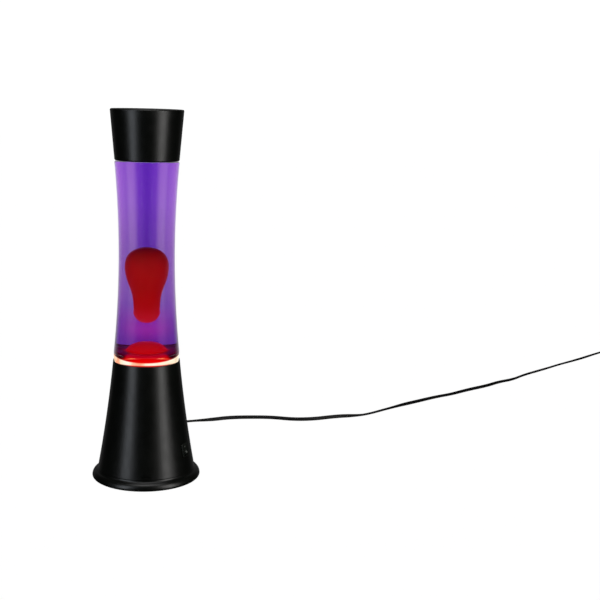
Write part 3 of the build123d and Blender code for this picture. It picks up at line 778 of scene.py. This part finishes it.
painted_red_glow = glass.colours(
    facing, (0.0, (0.60, 0.0, 0.0)), (0.22, (0.56, 0.0, 0.0)), (0.32, (0.34, 0.0, 0.0)),
    (0.40, (0.10, 0.0, 0.01)), (0.55, (0.16, 0.01, 0.02)), (1.0, (0.5, 0.2, 0.2)),
)
painted_low_red_glow = glass.colours(facing, (0.0, (0.09, 0.0, 0.0)), (1.0, (0.04, 0.0, 0.0)))
painted_red_glow = blend_colours(glass, glass.spread(up, 1.0, 0.0, 0.06, 0.24), painted_red_glow, painted_low_red_glow)
# Painted reflection: along the glass's grazing edges a white emission stands in for the reflection of the
# bright surround.
painted_edge_reflection = glass.colours(edge, (0.0, BLACK), (1.0, (0.92, 0.88, 1.0)))
lit_foot = blend_colours(glass, ring_share, blend_colours(glass, red_share, painted_edge_reflection, painted_red_glow), painted_cream_glow)
behind_share = glass.nodes.new("ShaderNodeNewGeometry").outputs["Backfacing"]
glass.put(blend_colours(glass, behind_share, lit_foot, BLACK), "Emission Color")
wear("bottle_body", bottle, glass.mat, "bottle", "bottle_glass", "bottle_glass")

floor_in = [(28.4 * k / 6, 139.2 - 1.9 * (k / 6) ** 2) for k in range(7)]
corner_in = bend([(28.4, 137.3), (31.2, 138.7), (glass_r(142.5, 2.4), 142.5)], 5)[1:]
side_in = [(glass_r(z, 2.4), z) for z in heights(142.5, 339.3, 48)][1:]
top_in = bend([
    (glass_r(339.3, 2.3), 339.3), (30.75, 340.6), (29.3, 341.4), (26.5, 342.1), (22.6, 344.0), (20.6, 344.7),
], 5)[1:] + [(0, 344.7)]
liquid = lathe("liquid_fill", floor_in + corner_in + side_in + top_in)


def liquid_material():
    """Clear violet, its tint painted darker and more magenta towards the bottom, with a painted magenta glow
    (emission) over the wax that the bulb heats.
    """
    s = Shade("violet_liquid", (1.0, 1.0, 1.0), 0.0)
    s.nodes.remove(s.bsdf)
    clear = s.nodes.new("ShaderNodeBsdfGlass")
    clear.inputs["Roughness"].default_value = 0.0
    clear.inputs["IOR"].default_value = 0.907
    # Painted shade and red light: the surface tint darkens and turns magenta towards the bottom.
    s.links.new(s.colours(
        s.height(140.0, 340.0),
        (0.0, (0.60, 0.50, 0.70)), (0.13, (0.61, 0.52, 0.71)), (0.22, (0.73, 0.70, 0.77)),
        (0.30, (0.79, 0.80, 0.79)),
        (0.55, (0.81, 0.83, 0.82)), (0.8, (0.94, 0.95, 0.95)), (1.0, (1.0, 1.0, 1.0)),
    ), clear.inputs["Color"])
    s.links.new(clear.outputs[0], s.out.inputs["Surface"])
    dye = s.nodes.new("ShaderNodeVolumeAbsorption")
    dye.inputs["Color"].default_value = (0.538, 0.154, 0.815, 1.0)
    dye.inputs["Density"].default_value = 65.0
    # Painted glow: the liquid itself emits magenta near the axis, strongest a little above the wax pool.
    glow = s.nodes.new("ShaderNodeEmission")
    glow.inputs["Color"].default_value = (1.0, 0.12, 0.22, 1.0)
    near = s.spread(from_axis(s), 30.0, 0.0, 0.004, 0.025)
    low = s.colours(
        s.height(141.0, 191.0), (0.0, (0.25, 0.25, 0.25)), (0.2, (0.4, 0.4, 0.4)), (0.45, (1.0, 1.0, 1.0)),
        (0.7, (0.55, 0.55, 0.55)), (1.0, (0.0, 0.0, 0.0)),
    )
    s.links.new(arithmetic(s, "MULTIPLY", near, low), glow.inputs["Strength"])
    both = s.nodes.new("ShaderNodeAddShader")
    s.links.new(dye.outputs[0], both.inputs[0])
    s.links.new(glow.outputs[0], both.inputs[1])
    s.links.new(both.outputs[0], s.out.inputs["Volume"])
    return s.mat


wear("liquid_fill", liquid, liquid_material(), "bottle", "violet_liquid", "liquid")

wax = Shade("red_wax", (0.4, 0.01, 0.012), 0.32, Emission_Strength=1.0, Specular_IOR_Level=0.08)
wax.put(wax.colours(wax.noise(70.0), (0.3, (0.24, 0.001, 0.002)), (0.7, (0.32, 0.001, 0.003))), "Base Color")
# Painted light: the emission is brightest red at the blob's bottom and dims towards its top, standing in for
# the bulb's light from below.
wax.put(wax.colours(
    wax.height(171.0, 252.4),
    (0.0, (0.98, 0.0, 0.0)), (0.2, (0.74, 0.0, 0.0)), (0.5, (0.46, 0.0, 0.0)), (0.75, (0.36, 0.0, 0.0)),
    (0.9, (0.24, 0.0, 0.0)), (1.0, (0.12, 0.0, 0.004)),
), "Emission Color")
wax.put(wax.spread(wax.noise(90.0), 0.3, 0.5), "Roughness")
wax.bump(wax.noise(40.0, 1.0), 0.15, 0.4)
dress(wax.mat, "wax_blob")

pool = Shade("red_wax_pool", (0.3, 0.004, 0.004), 0.3, Emission_Strength=1.0, Specular_IOR_Level=0.08)
pool.put(pool.colours(
    pool.noise(70.0), (0.3, (0.20, 0.001, 0.002)), (0.7, (0.26, 0.001, 0.003)),
), "Base Color")
# Painted glow: the emission lights the dome bright red and leaves the flat ring round it dim, standing in for
# the bulb's light through the wax.
pool.put(pool.colours(
    pool.spread(from_axis(pool), 0.0, 1.0, 0.0, 0.032),
    (0.0, (0.95, 0.0, 0.0)), (0.3, (1.1, 0.0, 0.0)), (0.49, (1.3, 0.0, 0.0)), (0.55, (0.5, 0.0, 0.0)),
    (0.62, (0.12, 0.0, 0.01)), (1.0, (0.05, 0.0, 0.02)),
), "Emission Color")
pool.put(pool.spread(pool.noise(90.0), 0.3, 0.5), "Roughness")
pool.bump(pool.noise(50.0, 1.0), 0.12, 0.4)
pool_line = bend([(0.0, 150.6), (4.8, 150.15), (9.2, 148.5), (12.8, 145.7), (15.1, 142.6), (16.0, 140.7)], 6)
pool_line += bend([(16.4, 140.2), (18.2, 139.9), (24.0, 139.9), (29.5, 140.1), (31.4, 140.8)], 5)
pool_line += bend([
    (31.5, 140.4), (30.6, 138.9), (28.2, 137.6), (22.0, 138.15), (10.0, 139.1), (0.0, 139.3),
], 5)
pool_wax = lathe("wax_pool_dome", pool_line)
wear("wax_pool_dome", pool_wax, pool.mat, "bottle", "red_wax", "wax_pool")

# ---------------------------------------------------------------- metal, plastics and the rest
enamel = finish_of(
    "black_enamel", (0.0030, 0.0036, 0.0027), (0.0018, 0.0022, 0.0016), (0.28, 0.34), 45.0, 2600.0, 0.010,
)
dress(enamel, "base_shell", "cap_shell")
lit = bpy.data.collections.new("lit_by_softboxes")
for node in sorted(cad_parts):
    if node not in ("bottle_glass", "liquid", "wax_blob", "wax_pool"):
        lit.objects.link(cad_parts[node])
for piece in (flex, boot, plug, prongs, tie):
    lit.objects.link(piece)
for light in lights:
    light.light_linking.receiver_collection = lit
black_steel = finish_of(
    "black_steel", (0.02, 0.02, 0.022), (0.012, 0.012, 0.013), (0.38, 0.5), 60.0, 1500.0, 0.02,
)
dress(black_steel, "bottom_plate", "seat_ring")
zinc = finish_of(
    "zinc_steel", (0.62, 0.62, 0.6), (0.5, 0.5, 0.5), (0.25, 0.42), 150.0, 900.0, 0.02, metallic=1.0,
)
dress(zinc, "plate_screws", "bridge_screws", "bridge_nuts", "holder_bridge", "holder_nut", "wire_coil")
rubber = finish_of("black_rubber", (0.02, 0.02, 0.02), (0.012, 0.012, 0.012), (0.6, 0.8), 200.0, 1500.0, 0.06)
dress(rubber, "foot_1", "foot_2", "foot_3", "foot_4")

silicone = Shade("clear_silicone", (0.9, 0.86, 0.74), 0.4, Emission_Strength=0.3)
# Painted light: the gasket glows cream by emission, standing in for the bulb's light under the bottle's foot.
silicone.put(silicone.colours(
    silicone.noise(120.0), (0.3, (1.0, 0.93, 0.72)), (0.7, (1.0, 0.98, 0.86)),
), "Emission Color")
silicone.put(silicone.spread(silicone.noise(200.0), 0.3, 0.5), "Roughness")
silicone.bump(silicone.noise(300.0), 0.05)
dress(silicone.mat, "seat_gasket")

holder_black = finish_of(
    "holder_black", (0.03, 0.028, 0.026), (0.02, 0.018, 0.017), (0.3, 0.45), 130.0, 900.0, 0.04,
)
dress(holder_black, "holder_body")
ceramic = finish_of("white_ceramic", (0.82, 0.8, 0.75), (0.74, 0.71, 0.66), (0.25, 0.45), 160.0, 800.0, 0.05)
dress(ceramic, "holder_core")
brass = finish_of(
    "brass", (0.78, 0.56, 0.24), (0.66, 0.45, 0.18), (0.22, 0.4), 140.0, 700.0, 0.03, metallic=1.0,
)
dress(brass, "holder_contact", "holder_sleeve", "holder_nipple", "switch_terminals")
shell = finish_of(
    "bulb_shell", (0.8, 0.8, 0.78), (0.66, 0.66, 0.64), (0.2, 0.36), 150.0, 700.0, 0.03, metallic=1.0,
)
dress(shell, "bulb_cap")
solder = finish_of(
    "solder", (0.62, 0.62, 0.62), (0.5, 0.5, 0.51), (0.3, 0.5), 300.0, 900.0, 0.06, metallic=1.0,
)
dress(solder, "bulb_contact")
black_glass = finish_of(
    "black_glass", (0.015, 0.014, 0.016), (0.01, 0.01, 0.011), (0.06, 0.16), 200.0, 700.0, 0.02,
)
dress(black_glass, "bulb_insulator")
stem = finish_of(
    "bulb_stem_glass", (0.7, 0.74, 0.74), (0.62, 0.66, 0.66), (0.05, 0.15), 200.0, 700.0, 0.02,
    Transmission_Weight=0.6,
)
dress(stem, "bulb_stem")
wire = finish_of(
    "bulb_wire", (0.5, 0.48, 0.46), (0.4, 0.38, 0.37), (0.3, 0.45), 300.0, 900.0, 0.03, metallic=1.0,
)
dress(wire, "bulb_supports", "bulb_filament")

lamp = Shade("bulb_glass", (0.9, 0.9, 0.88), 0.25, 0.0, Emission_Strength=1.0)
along_bulb = lamp.height(69.0, 116.0)
lamp.put(lamp.colours(
    along_bulb, (0.0, (0.75, 0.75, 0.74)), (0.74, (0.8, 0.8, 0.78)), (0.8, (0.95, 0.93, 0.88)),
), "Base Color")
lamp.put(lamp.colours(
    along_bulb, (0.0, BLACK), (0.74, BLACK), (0.8, (1.0, 0.86, 0.62)), (1.0, (1.0, 0.93, 0.78)),
), "Emission Color")
lamp.put(lamp.colours(along_bulb, (0.0, (1, 1, 1)), (0.74, (1, 1, 1)), (0.8, BLACK)), "Metallic")
lamp.put(lamp.spread(lamp.noise(150.0), 0.16, 0.32), "Roughness")
lamp.bump(lamp.noise(120.0), 0.04)
dress(lamp.mat, "bulb_glass")

crown = finish_of(
    "crown_metal", (0.72, 0.72, 0.71), (0.6, 0.6, 0.6), (0.18, 0.3), 120.0, 1200.0, 0.01, metallic=1.0,
)
dress(crown, "crown_cap")
liner = finish_of("liner_plastic", (0.8, 0.8, 0.78), (0.7, 0.7, 0.68), (0.4, 0.55), 200.0, 900.0, 0.03)
dress(liner, "crown_liner")
switch_black = finish_of(
    "switch_black", (0.016, 0.018, 0.015), (0.009, 0.011, 0.009), (0.2, 0.32), 220.0, 1800.0, 0.02,
)
dress(switch_black, "switch_housing", "switch_rocker")
dress(cord_black, "relief_nut", "cord_tail")


SWITCH_AZIMUTH = 57.0
SWITCH_TILT = 9.325
SWITCH_R = 47.697
SWITCH_Z = 36.0
ROCKER_AT_REST = -11.0


def switch_marks():
    """The I and O marks on the rocker: a bar in its groove above and a flat ring below."""
    azimuth, tilt = math.radians(SWITCH_AZIMUTH), math.radians(SWITCH_TILT)
    sideways = Vector((math.cos(azimuth), math.sin(azimuth), 0))
    level = Vector((math.sin(azimuth), -math.cos(azimuth), 0))
    outward = level * math.cos(tilt) + Vector((0, 0, math.sin(tilt)))
    upward = outward.cross(sideways)
    centre = Vector((SWITCH_R * math.sin(azimuth), -SWITCH_R * math.cos(azimuth), SWITCH_Z))
    rocker = Matrix.Rotation(math.radians(ROCKER_AT_REST), 3, "X")
    pivot = Vector((0, 0, -1.2))

    def place(x, y, z):
        p = rocker @ (Vector((x, y, z)) - pivot) + pivot
        return (centre + sideways * p.x + upward * p.y + outward * p.z) * MM

    mesh = bpy.data.meshes.new("switch_marks")
    bm = bmesh.new()
    slope = 1.4 / 4.75
    low, high = [], []
    for k in range(24):
        a = 2 * math.pi * k / 24
        x = 0.24 * math.cos(a)
        y = 3.3 + 0.24 * math.sin(a) + math.copysign(0.62, math.sin(a))
        low.append(bm.verts.new(place(x, y, 2.02)))
        high.append(bm.verts.new(place(x, y, 1.5 + slope * y - 0.05)))
    for k in range(24):
        m = (k + 1) % 24
        bm.faces.new((low[k], low[m], high[m], high[k]))
    bm.faces.new(high)
    bm.faces.new(list(reversed(low)))
    rows = []
    for r, rise in ((0.62, -0.1), (0.62, 0.05), (0.68, 0.08), (0.86, 0.08), (0.92, 0.05), (0.92, -0.1)):
        row = []
        for k in range(36):
            a = 2 * math.pi * k / 36
            y = -2.7 + r * math.sin(a)
            row.append(bm.verts.new(place(r * math.cos(a), y, 1.5 - slope * y + rise)))
        rows.append(row)
    for p, q in zip(rows, rows[1:] + rows[:1]):
        for k in range(36):
            m = (k + 1) % 36
            bm.faces.new((p[k], q[k], q[m], p[m]))
    bmesh.ops.recalc_face_normals(bm, faces=bm.faces)
    bm.to_mesh(mesh)
    bm.free()
    smooth(mesh, 35.0)
    return new_object("switch_marks", mesh)


marks_white = finish_of(
    "marks_white", (0.42, 0.44, 0.41), (0.33, 0.35, 0.32), (0.4, 0.55), 500.0, 2400.0, 0.02,
)
marks = switch_marks()
wear("switch_marks", marks, marks_white, "rocker", "liner_plastic")
lit.objects.link(marks)
brown = finish_of("wire_brown", (0.16, 0.06, 0.03), (0.12, 0.045, 0.02), (0.35, 0.5), 200.0, 1200.0, 0.03)
dress(brown, "wire_live", "wire_switched")
blue = finish_of("wire_blue", (0.02, 0.08, 0.35), (0.015, 0.06, 0.28), (0.35, 0.5), 200.0, 1200.0, 0.03)
dress(blue, "wire_neutral")
